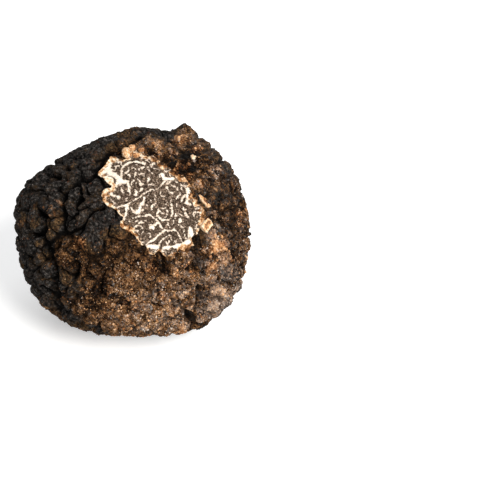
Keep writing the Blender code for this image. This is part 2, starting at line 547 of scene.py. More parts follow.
def crease_closeness(points, shift):
    """1 along the deep creases and 0 away from them."""
    closeness = np.zeros(len(points))
    front = points @ VIEW_OUT > 0
    flat = in_view_plane(points[front] + CREASE_WANDER * shift[front])
    for width, path in CREASES:
        line = smooth_path(path, 2)
        gap, _ = distance_to_lines(flat, line[:-1], line[1:])
        closeness[front] = np.maximum(closeness[front], np.exp(-((gap.min(axis=1) / width) ** 2)))
    return closeness


def wart_relief(directions, points, soil):
    """Height over the smooth ball, share of a full wart's height there, and each wart's own number."""
    shift = noise_shift(points, 2.6, 4, 50, 7, axes=3)
    even = unit(ball_direction(directions) + shift * EDGE_WANDER / MEAN_RADIUS)
    warts = nearest_warts(even)
    own = warts[:, 0]
    tallness = wart_numbers(3)
    height = tallness[own]
    groove = np.ones(len(even))
    edge = np.full(len(even), 99.0)
    for other in warts[:, 1:].T:
        apart = CENTRES[own] - CENTRES[other]
        gap = np.einsum("ij,ij->i", even, apart) / np.linalg.norm(apart, axis=1) * MEAN_RADIUS
        gap = np.maximum(gap, 0)
        edge = np.minimum(edge, gap)
        pair = np.stack([np.minimum(own, other), np.maximum(own, other), own * 0], axis=1)
        depth = SHALLOWEST_GROOVE + (1 - SHALLOWEST_GROOVE) * smoothstep(0.28, 0.70, scramble(pair, 4))
        width = GROOVE_WIDTH * (0.60 + 1.1 * scramble(pair, 6) ** 2)
        groove *= 1 - depth * np.exp(-((gap / width) ** 1.7))
        height += (tallness[other] - tallness[own]) * 0.5 * np.exp(-gap / 0.35)
    height = WART_HEIGHT * (0.70 + 0.55 * height)
    dome = 1 - np.exp(-edge / 0.9)
    lean = np.stack([wart_numbers(60 + axis) - 0.5 for axis in range(3)], axis=1)[own]
    across = (even - CENTRES[own]) * MEAN_RADIUS
    tilt = np.einsum("ij,ij->i", across, lean) * WART_LEAN * (1 - np.exp(-((edge / 0.5) ** 2)))
    crease = crease_closeness(points, shift)
    share = groove * (0.70 + 0.30 * dome) * (1 - crease)
    relief = GROOVE_FLOOR + (height - GROOVE_FLOOR) * share + tilt + spur_height(points)
    # Soil fills the grooves, less so on the right, and worn skin is nearly level too.
    caked = 0.44 - 0.24 * smoothstep(8, 14, points[:, 0])
    worn = nearness(ball_direction(directions), WORN_DIRECTION, WORN_SPREAD, 4)
    fullness = 0.06 + caked * soil**2 + 0.26 * worn
    filled = GROOVE_FLOOR + (WART_HEIGHT - GROOVE_FLOOR) * fullness
    relief = filled + GROOVE_SOFTNESS * np.log1p(np.exp((relief - filled) / GROOVE_SOFTNESS))
    return relief - CREASE_DEPTH * crease, share, tallness[own]


def soil_clods(points, soil):
    """How much paler and greyer each clod of soil is than its neighbours, and 1 in the gaps between them."""
    bent = points + CLOD_BEND * noise_shift(points, 1.5, 2, 140, 5, axes=3)
    _, edge, own = crumb_noise(bent, CLOD_SIZE, 131)
    caked = smoothstep(0.35, 0.80, soil) * (0.35 + 0.65 * smoothstep(2, 10, points[:, 0]))
    second = own * 7.31 % 1  # another number for the same clod
    gap = caked * smoothstep(0.13, 0.02, edge) * smoothstep(0.15, 0.60, second)
    return CLOD_CONTRAST * caked * (own - 0.34), CLOD_GREYNESS * caked * (second - 0.5), gap


def skin_radius(directions):
    """Radius of the uncut skin, with fields that the materials use."""
    radius = ball_radius(directions)
    points = directions * radius[:, None]
    marked, rust = mark_amounts(points)
    soil = np.clip(soil_amount(directions, points) + 0.6 * rust + marked, 0, 1)
    relief, share, own = wart_relief(directions, points, soil)
    knobs = (0.5 - crumb_noise(points, KNOB_SIZE, 71)[0]) * (0.26 + 0.14 * soil)
    knobs = knobs * smoothstep(0.25, 0.75, share)
    grit = (0.5 - crumb_noise(points, GRIT_SIZE, 81)[0]) * (0.15 + 0.26 * soil)
    fine = 0.10 * layered_noise(points, 1.6, 3, 91)
    pits = soil * smoothstep(0.40, 0.90, layered_noise(points, PIT_SIZE, 3, 95))
    lightness, greyness, gap = soil_clods(points, soil)
    fields = {"soil": soil, "share": share, "wart": own, "rust": rust}
    # Painted shade: pits and the gaps between clods are painted darker through this field, which also carries
    # the soil's own tone and the marks.
    fields["tone_and_painted_light"] = soil_tone_and_painted_hollows(directions) + marked - PIT_SHADE * pits + lightness - CLOD_GAP_SHADE * gap
    fields["grey"] = smoothstep(GREYER_FROM, GREYEST_AT, points[:, 0]) + greyness
    return radius + relief + knobs + grit + fine - PIT_DEPTH * pits - CLOD_GAP_DEPTH * gap, fields


# ---- The window ----


def arc_radius(directions):
    """Radius of the knife's arc in each direction."""
    outward = toward(*WINDOW_DIRECTION)
    sideways = unit(np.cross([0, 0, 1], outward))
    upward = np.cross(outward, sideways)
    tilt = math.radians(WINDOW_TILT)
    across = upward * math.cos(tilt) - sideways * math.sin(tilt)
    outward_true = unit(outward * HALF_SIZES)
    surface = ball_radius(outward_true[None])[0] * outward_true
    middle = surface + outward * (CAD_WART_TOP - WINDOW_DEPTH - WINDOW_ARC_RADIUS)
    flat = directions - np.outer(directions @ across, across)
    start = -(middle - across * (middle @ across))
    a = np.einsum("ij,ij->i", flat, flat)
    b = 2 * flat @ start
    c = start @ start - WINDOW_ARC_RADIUS**2
    root = np.sqrt(np.maximum(b * b - 4 * a * c, 0))
    return (-b + root) / (2 * a)


def distance_to_lines(points, starts, ends):
    """Distance from each flat point to each line, and how far along the line the nearest spot is."""
    along = ends - starts
    squared = np.maximum(np.einsum("ij,ij->i", along, along), 1e-9)
    away = points[:, None, :] - starts[None]
    part = np.clip(np.einsum("nij,ij->ni", away, along) / squared, 0, 1)
    gap = np.linalg.norm(away - part[..., None] * along, axis=2)
    return gap, part


def outline_depth(points):
    """Distance inside the window's outline; outside it the distance is negative."""
    corners = np.array(WINDOW_OUTLINE, float)
    following = np.roll(corners, -1, axis=0)
    gap, _ = distance_to_lines(points, corners, following)
    inside = np.zeros(len(points), bool)
    for (x0, y0), (x1, y1) in zip(corners, following):
        crosses = (y0 > points[:, 1]) != (y1 > points[:, 1])
        meets = x0 + (points[:, 1] - y0) * (x1 - x0) / (y1 - y0 if y1 != y0 else 1e-9)
        inside ^= crosses & (points[:, 0] < meets)
    return np.where(inside, gap.min(axis=1), -gap.min(axis=1))


def smooth_path(points, pieces=4):
    """A smooth curve through the points, as a longer list of points."""
    points = np.array(points, float)
    if len(points) < 3:
        return points
    padded = np.vstack([2 * points[0] - points[1], points, 2 * points[-1] - points[-2]])
    path = [points[0]]
    for p0, p1, p2, p3 in zip(padded, padded[1:], padded[2:], padded[3:]):
        second, third = 2 * p0 - 5 * p1 + 4 * p2 - p3, 3 * p1 - p0 - 3 * p2 + p3
        for t in np.arange(1, pieces + 1) / pieces:
            path.append(0.5 * (2 * p1 + (p2 - p0) * t + second * t**2 + third * t**3))
    return np.array(path)


def round_path(middle, radius, first, last, pieces=10):
    """Points along a round stretch between two angles in degrees."""
    angles = np.radians(np.linspace(first, last, pieces + 1))
    return np.array(middle) + radius * np.stack([np.cos(angles), np.sin(angles)], axis=1)


def main_veins():
    """Every straight piece of the main veins: (start, end, widths at both)."""
    paths = [(first, last, smooth_path(points)) for first, last, points in VEINS]
    paths += [(first, last, round_path(*arc)) for first, last, *arc in ROUND_VEINS]
    lines = []
    for first, last, path in paths:
        widths = first + (last - first) * np.linspace(0, 1, len(path))
        lines += zip(path[:-1], path[1:], zip(widths[:-1], widths[1:]))
    return lines


def worm_walk(rng, lines, spot, steps):
    """Pieces of a path that turns a little at every step and stops short of the lines it meets."""
    heading = rng.uniform(0, 2 * math.pi)
    pieces = []
    for _ in range(steps):
        ahead = spot + WORM_STEP * np.array([math.cos(heading), math.sin(heading)])
        if distance_to_lines(ahead[None], lines[:, 0], lines[:, 1])[0].min() < WORM_CLEARANCE:
            break
        pieces.append((spot, ahead))
        spot = ahead
        heading += rng.uniform(-WORM_TURN, WORM_TURN)
    return pieces


def worm_veins(veins):
    """Short wandering veins, some of them forked, in the gaps that the main ones leave."""
    rng = random.Random(WORM_SEED)
    low, high = np.min(WINDOW_OUTLINE, axis=0), np.max(WINDOW_OUTLINE, axis=0)
    taken = [(start, end) for start, end, _ in veins]
    found = []
    for _ in range(WORM_TRIES):
        spot = np.array([rng.uniform(low[0], high[0]), rng.uniform(low[1], high[1])])
        lines = np.array(taken)
        if outline_depth(spot[None])[0] < 0.35:
            continue
        if distance_to_lines(spot[None], lines[:, 0], lines[:, 1])[0].min() < WORM_SPACING:
            continue
        worm = []
        for _ in range(rng.choice((1, 2, 2, 3))):
            worm += worm_walk(rng, lines, spot, rng.randint(1, 4))
        width = rng.uniform(*WORM_WIDTHS)
        found += [(start, end, (width, width * rng.uniform(0.6, 1.15))) for start, end in worm]
        taken += worm
    return found


def all_veins():
    """Starts, ends and widths of every vein's pieces, as three arrays."""
    veins = main_veins()
    veins += worm_veins(veins)
    return [np.array(column) for column in zip(*veins)]


VEIN_STARTS, VEIN_ENDS, VEIN_WIDTHS = all_veins()


def vein_depth(points, flat, chunk=8000):
    """Distance inside a vein's edge; outside the veins the distance is negative."""
    flat = flat + VEIN_WANDER * noise_shift(points, 1.1, 3, 200, 9)
    swell = 1 + 0.42 * layered_noise(points, 0.9, 2, 230)
    found = np.empty(len(flat))
    for start in range(0, len(flat), chunk):
        part = slice(start, start + chunk)
        gap, along = distance_to_lines(flat[part], VEIN_STARTS, VEIN_ENDS)
        width = VEIN_WIDTHS[:, 0] + (VEIN_WIDTHS[:, 1] - VEIN_WIDTHS[:, 0]) * along
        found[part] = (width * VEIN_FULLNESS / 2 * swell[part, None] - gap).max(axis=1)
    return found + 0.10 * layered_noise(points, 0.55, 3, 240)


def window_fields(directions, arc):
    """Distance inside the window, and inside its veins, for every direction (far outside, -9)."""
    inside, vein = np.full((2, len(directions)), -9.0)
    near = ball_direction(directions) @ toward(*WINDOW_DIRECTION) > math.cos(math.radians(WINDOW_SPREAD))
    points = directions[near] * arc[near, None]
    flat = in_view_plane(points)
    raggedness = 0.40 + 0.25 * smoothstep(2, 8, flat[:, :1])
    depth = outline_depth(flat + raggedness * noise_shift(points, 1.3, 3, 300, 9))
    inside[near] = depth
    cut = np.flatnonzero(near)[depth > -0.4]
    vein[cut] = vein_depth(directions[cut] * arc[cut, None], flat[depth > -0.4])
    return inside, vein


def rim_band(flat, inside):
    """How far a spot lies into the cut rind round the window, 1 at its outer edge and below 0 past it."""
    right, up = flat.T
    # Wider on the left, along the top, where the rind is torn and a little on the right.
    width = 0.40 + 1.4 * smoothstep(-1.0, -3.5, right) + 1.6 * smoothstep(13.5, 15.5, up)
    width += 1.8 * torn_share(flat) + 0.5 * smoothstep(4, 8, right)
    return 1 - inside / width


def torn_share(flat):
    """1 where the rind tore instead of being cut, and 0 elsewhere."""
    return smoothstep(4.0, 0.5, np.hypot(*(flat - TORN_MIDDLE).T))


def surface_radius(directions):
    """Radius of the finished surface, and every field on it."""
    skin, fields = skin_radius(directions)
    arc = arc_radius(directions)
    inside, vein = window_fields(directions, arc)
    ball = ball_radius(directions)
    # Near its edge the cut keeps to the skin's level, and it may lie deeper toward the middle.
    depth = np.maximum(inside, 0)
    highest = ball + 0.15 + 0.60 * np.exp(-depth / 0.5)
    lowest = ball - 0.15 - 0.30 * depth
    # Past the edge the cut is lifted clear of the skin, and inside it the skin clear of the cut.
    knife = np.maximum(np.minimum(arc, highest), lowest) + 4 * smoothstep(0, 0.5, -inside)
    points = directions * knife[:, None]
    knife += CUT_ROUGHNESS * layered_noise(points, 0.7, 3, 101) + VEIN_RISE * smoothstep(-0.06, 0.06, vein)
    uncut = skin + 3 * smoothstep(0.05, 0.5, inside)
    flat = in_view_plane(points)
    fringe = smoothstep(0.9, 0.1, inside) * smoothstep(3, 8, flat[:, 0])
    fields.update(cut=uncut - knife, inside=inside, vein=vein)
    fields.update(rim=rim_band(flat, inside), torn=np.maximum(torn_share(flat), fringe))
    return np.minimum(uncut, knife), fields


# ---- Building the meshes ----


def vertex_array(mesh):
    flat = np.empty(len(mesh.vertices) * 3, np.float32)
    mesh.vertices.foreach_get("co", flat)
    return flat.reshape(-1, 3).astype(float)


def set_vertices(mesh, points):
    mesh.vertices.foreach_set("co", points.astype(np.float32).ravel())
    mesh.update()


def set_attributes(mesh, fields):
    """Stores each named field's value at every vertex."""
    for name, values in fields.items():
        attribute = mesh.attributes.new(name, "FLOAT", "POINT")
        attribute.data.foreach_set("value", values.astype(np.float32))


def new_object(name, mesh):
    made = bpy.data.objects.new(name, mesh)
    bpy.context.scene.collection.objects.link(made)
    return made


def new_piece(name, points, triangles, **fields):
    """A piece of triangles, with the values of its fields; the points are in metres."""
    mesh = bpy.data.meshes.new(name)
    mesh.vertices.add(len(points))
    mesh.loops.add(triangles.size)
    mesh.loops.foreach_set("vertex_index", triangles.astype(np.int32).ravel())
    mesh.polygons.add(len(triangles))
    mesh.polygons.foreach_set("loop_start", np.arange(0, triangles.size, 3, dtype=np.int32))
    mesh.vertices.foreach_set("co", points.astype(np.float32).ravel())
    mesh.update(calc_edges=True)
    set_attributes(mesh, fields)
    return new_object(name, mesh)


def icosphere(subdivisions):
    """A unit ball of even triangles, and its points."""
    ball = bmesh.new()
    bmesh.ops.create_icosphere(ball, subdivisions=subdivisions, radius=1.0)
    ball.verts.index_update()
    return ball, np.array([vert.co[:] for vert in ball.verts])


def fine_sphere():
    """A unit sphere of even triangles, finer where the window is."""
    ball, points = icosphere(BODY_DETAIL)
    directions = unit(points)
    inside, _ = window_fields(directions, arc_radius(directions))
    in_window = inside > -0.5
    edges = [edge for edge in ball.edges if in_window[edge.verts[0].index] or in_window[edge.verts[1].index]]
    bmesh.ops.subdivide_edges(ball, edges=edges, cuts=1, use_grid_fill=True)
    bmesh.ops.triangulate(ball, faces=[face for face in ball.faces if len(face.verts) > 3])
    mesh = bpy.data.meshes.new("truffle_body")
    ball.to_mesh(mesh)
    ball.free()
    return mesh


def press_flat(points):
    """Flattens the underside and gives the shift that stands the truffle on the origin."""
    floor = points[:, 2].min() + REST_DEPTH
    points[:, 2] = np.maximum(points[:, 2], floor)
    low, high = points.min(axis=0), points.max(axis=0)
    return np.array([(low[0] + high[0]) / 2, (low[1] + high[1]) / 2, floor])


def thin_out(body, kept):
    """Fewer triangles where the shape is plain, and all of them at the kept vertices."""
    group = body.vertex_groups.new(name="kept")
    group.add(np.flatnonzero(kept).tolist(), 1.0, "REPLACE")
    thin = body.modifiers.new("thin", "DECIMATE")
    thin.ratio = MAX_TRIANGLES / len(body.data.polygons)
    thin.vertex_group = "kept"
    thin.invert_vertex_group = True
    thin.vertex_group_factor = 20.0
    evaluated = body.evaluated_get(bpy.context.evaluated_depsgraph_get())
    thinned = bpy.data.meshes.new_from_object(evaluated)
    body.modifiers.remove(thin)
    body.vertex_groups.remove(group)
    old = body.data
    body.data = thinned
    bpy.data.meshes.remove(old)
    thinned.name = "truffle_body"


def make_body():
    """The truffle, with what the loose soil needs: (points, triangles, fields, shift onto the origin)."""
    mesh = fine_sphere()
    directions = unit(vertex_array(mesh))
    radius, fields = surface_radius(directions)
    points = directions * radius[:, None]
    foot = press_flat(points)
    set_vertices(mesh, points)
    body = new_object("truffle_body", mesh)
    thin_out(body, fields["inside"] > -0.3)
    points = vertex_array(body.data)
    _, fields = surface_radius(unit(points))
    set_attributes(body.data, fields)
    set_vertices(body.data, (points - foot) * MM)
    body.data.shade_smooth()
    return body, (points, triangle_array(body.data), fields, foot)


# ---- Loose soil ----


def triangle_array(mesh):
    flat = np.empty(len(mesh.polygons) * 3, np.int32)
    mesh.loops.foreach_get("vertex_index", flat)
    return flat.reshape(-1, 3)


def scatter(points, triangles, density, count, rng):
    """Random spots on the triangles, thicker where the density is higher: (triangle, spot, normal)."""
    corners = points[triangles]
    cross = np.cross(corners[:, 1] - corners[:, 0], corners[:, 2] - corners[:, 0])
    area = np.linalg.norm(cross, axis=1) / 2
    weight = np.cumsum(area * density[triangles].mean(axis=1))
    chosen = np.searchsorted(weight, rng.uniform(0, weight[-1], count))
    u, v = rng.uniform(0, 1, (2, count, 1))
    over = u + v > 1
    u, v = np.where(over, 1 - u, u), np.where(over, 1 - v, v)
    picked = corners[chosen]
    spots = picked[:, 0] + (picked[:, 1] - picked[:, 0]) * u + (picked[:, 2] - picked[:, 0]) * v
    return chosen, spots, unit(cross[chosen])


def random_turns(count, rng):
    """Rotation matrices spread evenly over all turns."""
    w, x, y, z = unit(rng.normal(size=(count, 4))).T
    rows = [
        [1 - 2 * (y * y + z * z), 2 * (x * y - w * z), 2 * (x * z + w * y)],
        [2 * (x * y + w * z), 1 - 2 * (x * x + z * z), 2 * (y * z - w * x)],
        [2 * (x * z - w * y), 2 * (y * z + w * x), 1 - 2 * (x * x + y * y)],
    ]
    return np.moveaxis(np.array(rows), 2, 0)


def grain_shape(subdivisions):
    """A unit ball of few facets: (points, triangles). Without subdivisions it is an octahedron."""
    if subdivisions == 0:
        points = np.array([[1, 0, 0], [-1, 0, 0], [0, 1, 0], [0, -1, 0], [0, 0, 1], [0, 0, -1]], float)
        rings = [(0, 2), (2, 1), (1, 3), (3, 0)]
        triangles = [(a, b, 4) for a, b in rings] + [(b, a, 5) for a, b in rings]
        return points, np.array(triangles)
    ball, points = icosphere(subdivisions)
    triangles = np.array([[vert.index for vert in face.verts] for face in ball.faces])
    ball.free()
    return points, triangles


def grain_colours(own, spots, size, sizes, rng):
    """How pale each grain is ("tint"), with painted shade and painted glints in it, and its place between
    grey and orange ("hue").

    The skin's fields at each grain are in `own`.
    """
    low, high = sizes
    # Painted shade: grains low in the grooves are painted darker, less so where the soil lies thick.
    painted_hollow_shade = (0.32 - 0.14 * own["soil"]) * (1 - smoothstep(0.15, 0.8, own["share"]))
    patchy = 0.12 * layered_noise(spots, 3.0, 2, 400)
    lump = 0.12 * (own["wart"] - 0.5)
    tint = 0.17 + 0.37 * own["soil"] + own["tone_and_painted_light"] - painted_hollow_shade + patchy + lump
    tint = tint + rng.normal(0, 1, len(size)) * (0.24 - 0.11 * smoothstep(0.4, 0.8, size))
    # Painted highlight: a few small grains are painted nearly white and oranger as glints, standing partly
    # for pale sand grains.
    painted_glint = (rng.uniform(0, 1, len(size)) < 0.006 + 0.10 * own["soil"]) & (size < LARGEST_PAINTED_GLINT)
    tint = np.clip(np.where(painted_glint, 0.95 - 0.15 * (size - low) / (high - low), tint), 0, 1)
    hue = 0.53 + 0.20 * layered_noise(spots, 2.5, 2, 410) + rng.normal(0, 0.22, len(size))
    hue = hue - 0.22 * smoothstep(0.45, 0.0, own["soil"]) + 0.22 * painted_glint - 0.20 * own["grey"]
    return tint, np.clip(hue + 0.35 * own["rust"], 0, 1)


def make_grains(surface, name, count, sizes, subdivisions, bare_share, seed):
    """Angular grains of soil, half sunk in the skin and thickest where the soil is."""
    points, triangles, fields, foot = surface
    rng = np.random.default_rng(seed)
    soil = smoothstep(0.12, 0.75, fields["soil"])
    density = (bare_share + soil + 0.8 * fields["rust"]) * smoothstep(0.10, -0.25, fields["inside"])
    density = density * smoothstep(0.0, 0.45, fields["share"] + 0.20 * soil)
    chosen, spots, normals = scatter(points, triangles, density, count, rng)
    low, high = sizes
    size = low + (high - low) * rng.uniform(0, 1, count) ** 2.2
    shape, faces = grain_shape(subdivisions)
    stretch = rng.uniform(0.6, 1.0, (count, 1, 3))
    rough = rng.uniform(0.72, 1.25, (count, len(shape), 1))
    turned = np.einsum("nij,nvj->nvi", random_turns(count, rng), shape[None] * stretch * rough)
    centres = spots + normals * (size * rng.uniform(-0.38, 0.02, count))[:, None]
    grains = centres[:, None, :] + turned * size[:, None, None] / 2
    all_points = (grains.reshape(-1, 3) - foot) * MM
    all_points[:, 2] = np.maximum(all_points[:, 2], 0)
    all_faces = (faces[None] + np.arange(count)[:, None, None] * len(shape)).reshape(-1, 3)
    first = triangles[chosen, 0]
    own = {field: values[first] for field, values in fields.items()}
    tint, hue = (np.repeat(value, len(shape)) for value in grain_colours(own, spots, size, sizes, rng))
    return new_piece(name, all_points, all_faces, tint=tint, hue=hue)


# ---- Crumbs round the window ----


def surface_spot(points, place):
    """The point of the surface that shows at a place of the window's plane, and the way out of it."""
    apart = np.linalg.norm(in_view_plane(points) - np.array(place), axis=1)
    facing = points @ VIEW_OUT
    spot = points[np.argmax(np.where(apart < 0.3, facing, -99))]
    return spot, unit(spot / HALF_SIZES**2)


def chip_points(ball, surface_points, place, sizes, turn, squareness, brownness):
    """One torn crumb lying on the surface, and how brown it is at each point."""
    spot, outward = surface_spot(surface_points, place)
    along = VIEW_RIGHT * math.cos(math.radians(turn)) + VIEW_UP * math.sin(math.radians(turn))
    along = unit(along - outward * (along @ outward))
    power = 2 + 7 * squareness
    square = ball / (np.abs(ball) ** power).sum(axis=1, keepdims=True) ** (1 / power)
    axes = np.array([along, np.cross(outward, along), outward])
    points = (square * np.array(sizes) / 2) @ axes + spot + outward * sizes[2] * 0.08
    lumpy = layered_noise(points, 0.5 * min(sizes[0], 1.6), 3, 500)
    ragged = (0.15 * lumpy + 0.06 * layered_noise(points, 0.3, 2, 510)) * (1 - 0.5 * squareness)
    points = points + (ball @ axes) * ragged[:, None]
    blotchy = 0.30 * layered_noise(points, 0.7, 3, 520)
    middle = smoothstep(0.80, 0.45, np.hypot(square[:, 0] * 0.8, square[:, 1]) + blotchy)
    pale_edge = smoothstep(0.1, 0.4, squareness)
    return points, brownness * (1 - pale_edge * (1 - middle))


def cluster_chips():
    """Places and sizes of the small crumbs in the cluster, in the form of CHIPS."""
    rng = random.Random(CLUSTER_SEED)
    chips = []
    for _ in range(CLUSTER_COUNT):
        place = [middle + rng.gauss(0, CLUSTER_SPREAD) for middle in CLUSTER_MIDDLE]
        size = rng.uniform(*CLUSTER_SIZES)
        sizes = (size, size * rng.uniform(0.6, 0.9), size * 0.7)
        chips.append((place, sizes, rng.uniform(0, 180), 0.1, rng.uniform(*CLUSTER_BROWN)))
    return chips


def make_chips(surface):
    """Every crumb by the window, as one piece."""
    points, _, _, foot = surface
    ball, triangles = grain_shape(CHIP_DETAIL)
    chips = [chip_points(ball, points, *chip) for chip in (*CHIPS, *cluster_chips())]
    all_points, brown = (np.concatenate(values) for values in zip(*chips))
    faces = np.vstack([triangles + len(ball) * i for i in range(len(chips))])
    made = new_piece("rim_chips", (all_points - foot) * MM, faces, brown=brown)
    made.data.shade_smooth()
    return made


# ---- Materials ----


class Look:
    """One node material under construction. Sizes and depths are in millimetres."""

    def __init__(self, name):
        self.material = bpy.data.materials.new(name)
        self.material.use_nodes = True
        self.nodes = self.material.node_tree.nodes
        self.links = self.material.node_tree.links
        self.shader = self.nodes["Principled BSDF"]
        self.place = self.new("TexCoord").outputs["Object"]

    def plug(self, socket, value):
        """Links a socket to another one, or sets its constant."""
        if isinstance(value, bpy.types.NodeSocket):
            self.links.new(value, socket)
        else:
            socket.default_value = (*value, 1.0) if isinstance(value, tuple) else value

    def fill(self, node, values):
        """Plugs values into a node's inputs, named with underscores for spaces."""
        for name, value in values.items():
            self.plug(node.inputs[name.replace("_", " ")], value)
        return node

    def new(self, kind, **values):
        return self.fill(self.nodes.new("ShaderNode" + kind), values)

    def set(self, **values):
        """Sets the main shader's inputs."""
        self.fill(self.shader, values)

    def attribute(self, name):
        node = self.new("Attribute")
        node.attribute_name = name
        return node.outputs["Fac"]

    def noise(self, size, detail=3.0, roughness=0.55, distortion=0.0):
        """Noise from 0 to 1 whose lumps are about this wide."""
        shape = {"Scale": 1 / (size * MM), "Detail": detail, "Roughness": roughness, "Distortion": distortion}
        return self.new("TexNoise", Vector=self.place, **shape).outputs["Fac"]

    def cells(self, size):
        """Crumb-like cells about this wide: (distance to the middle, colour)."""
        node = self.new("TexVoronoi", Vector=self.place, Scale=1 / (size * MM))
        return node.outputs["Distance"], node.outputs["Color"]

    def math(self, operation, *values):
        node = self.new("Math")
        node.operation = operation
        for socket, value in zip(node.inputs, values):
            self.plug(socket, value)
        return node.outputs[0]

    def scaled(self, value, factor, plus):
        """The value times the factor, plus another value."""
        return self.math("MULTIPLY_ADD", value, factor, plus)

    def ease(self, value, low, high, to_low=0.0, to_high=1.0):
        """Smooth rise from one value to another as the input passes from low to high."""
        node = self.new("MapRange", Value=value, From_Min=low, From_Max=high, To_Min=to_low, To_Max=to_high)
        node.interpolation_type = "SMOOTHSTEP"
        return node.outputs["Result"]

    def ramp(self, value, *stops):
        """Colour ramp through (position, colour) stops."""
        node = self.new("ValToRGB", Fac=value)
        elements = node.color_ramp.elements
        elements[0].position, elements[1].position = stops[0][0], stops[-1][0]
        for position, _ in stops[1:-1]:
            elements.new(position)
        for element, (_, colour) in zip(elements, stops):
            element.color = (*colour, 1.0)
        return node.outputs["Color"]

    def mix(self, share, first, second):
        """Colour that passes from the first to the second as the share goes from 0 to 1."""
        node = self.new("Mix")
        node.data_type = "RGBA"
        for number, value in ((0, share), (6, first), (7, second)):
            self.plug(node.inputs[number], value)
        return node.outputs[2]

    def bump(self, height, depth, strength):
        """Fine relief of this depth."""
        return self.new("Bump", Height=height, Distance=depth * MM, Strength=strength).outputs["Normal"]


def rind_colour(look, share):
    """Charcoal warts, mottled with grey and with browner patches, with painted shade: nearly black in the
    grooves and creases between them.
    """
    charcoal = look.ramp(
        look.noise(0.60, 5, 0.75),
        (0.38, (0.002, 0.0018, 0.0015)),
        (0.47, (0.011, 0.010, 0.009)),
        (0.55, (0.036, 0.032, 0.029)),
        (0.64, (0.118, 0.105, 0.096)),
    )
    brown = look.ramp(
        look.noise(0.45, 4, 0.7),
        (0.38, (0.006, 0.004, 0.002)),
        (0.50, (0.042, 0.025, 0.012)),
        (0.64, (0.190, 0.108, 0.048)),
    )
    patches = look.ease(look.noise(3.4, 4), 0.48, 0.62, 0.0, 0.85)
    patches = look.math("MULTIPLY", patches, look.ease(look.attribute("soil"), 0.0, 0.10, 0.35, 1.0))
    browned = look.mix(patches, charcoal, brown)
    rusty = look.ease(look.noise(0.8, 3), 0.60, 0.72, 0.0, 0.6)
    specked = look.mix(rusty, browned, (0.090, 0.030, 0.014))
    # Painted shade: nearly black where the share of a wart's height is low (grooves and creases), and where
    # the pale field is far below zero.
    painted_shade = look.ease(share, 0.06, 0.42, 0.97, 0.0)
    painted_shade = look.math("MAXIMUM", painted_shade, look.ease(look.attribute("tone_and_painted_light"), -0.40, -0.04, 0.85, 0.0))
    return look.mix(painted_shade, specked, (0.0020, 0.0017, 0.0015))


def soil_colour(look):
    """Brown crumbs of every shade from nearly black to pale tan, some of them greyer."""
    _, crumbs = look.cells(0.42)
    _, dust = look.cells(0.23)
    lumps = look.scaled(look.attribute("wart"), 0.14, -0.76)
    # The pale field brings painted shade and a painted highlight along with the soil's own tone.
    blend = look.scaled(look.noise(1.8, 4), 1.2, look.math("ADD", look.attribute("tone_and_painted_light"), lumps))
    value = look.scaled(look.math("ADD", crumbs, dust), 0.52, blend)
    warm = look.ramp(
        value,
        (0.12, (0.004, 0.002, 0.001)),
        (0.34, (0.040, 0.019, 0.008)),
        (0.55, (0.140, 0.067, 0.027)),
        (0.78, (0.310, 0.160, 0.070)),
        (1.00, (0.620, 0.380, 0.210)),
    )
    ash = look.ramp(value, (0.10, (0.006, 0.006, 0.006)), (0.90, (0.260, 0.230, 0.215)))
    grey = look.mix(0.50, warm, ash)
    dry = look.scaled(look.attribute("tone_and_painted_light"), 0.8, look.noise(1.1, 4, 0.7))
    dry = look.scaled(look.attribute("grey"), 0.12, dry)
    dried = look.mix(look.ease(dry, 0.54, 0.68), warm, grey)
    rusty = look.ramp(
        value,
        (0.12, (0.006, 0.003, 0.001)),
        (0.40, (0.110, 0.036, 0.011)),
        (0.65, (0.340, 0.130, 0.042)),
        (1.00, (0.740, 0.400, 0.180)),
    )
    return look.mix(look.attribute("rust"), dried, rusty)


def flesh_colour(look):
    """Grey-brown marbled flesh with cream veins, darker where the two meet."""
    flesh = look.ramp(
        look.noise(0.42, 5, 0.75, 0.9),
        (0.40, (0.015, 0.010, 0.007)),
        (0.48, (0.048, 0.032, 0.021)),
        (0.54, (0.106, 0.073, 0.051)),
        (0.63, (0.365, 0.262, 0.192)),
    )
    dots, dot_colour = look.cells(0.85)
    chosen = look.ease(dot_colour, 0.50, 0.56)
    specked = look.math("MULTIPLY", look.ease(dots, 0.20, 0.30, 0.75, 0.0), chosen)
    flesh = look.mix(specked, flesh, (0.420, 0.290, 0.200))
    fray = look.scaled(look.noise(0.34, 4, 0.75), 1.10, -0.55)
    vein = look.math("ADD", fray, look.attribute("vein"))
    edged = look.mix(look.ease(vein, -0.26, -0.04, 0.0, 0.60), flesh, (0.030, 0.018, 0.012))
    cream = look.ramp(
        look.ease(vein, 0.02, 0.34),
        (0.0, (0.570, 0.450, 0.345)),
        (0.4, (0.750, 0.645, 0.535)),
        (1.0, (0.850, 0.780, 0.670)),
    )
    tan_share = look.ease(look.noise(0.55, 4, 0.75), 0.50, 0.66, 0.0, 0.65)
    cream = look.mix(tan_share, cream, (0.560, 0.410, 0.280))
    return look.mix(look.ease(vein, -0.02, 0.07), edged, cream)


def rim_colour(look):
    """The cut edge of the rind: dark brown, orange-brown, tan and cream in turn, browner where it is torn."""
    return look.ramp(
        look.scaled(look.attribute("torn"), -0.11, look.noise(1.0, 4, 0.65)),
        (0.32, (0.040, 0.020, 0.010)),
        (0.40, (0.260, 0.105, 0.035)),
        (0.47, (0.560, 0.330, 0.165)),
        (0.53, (0.780, 0.610, 0.420)),
        (0.62, (0.880, 0.790, 0.660)),
    )


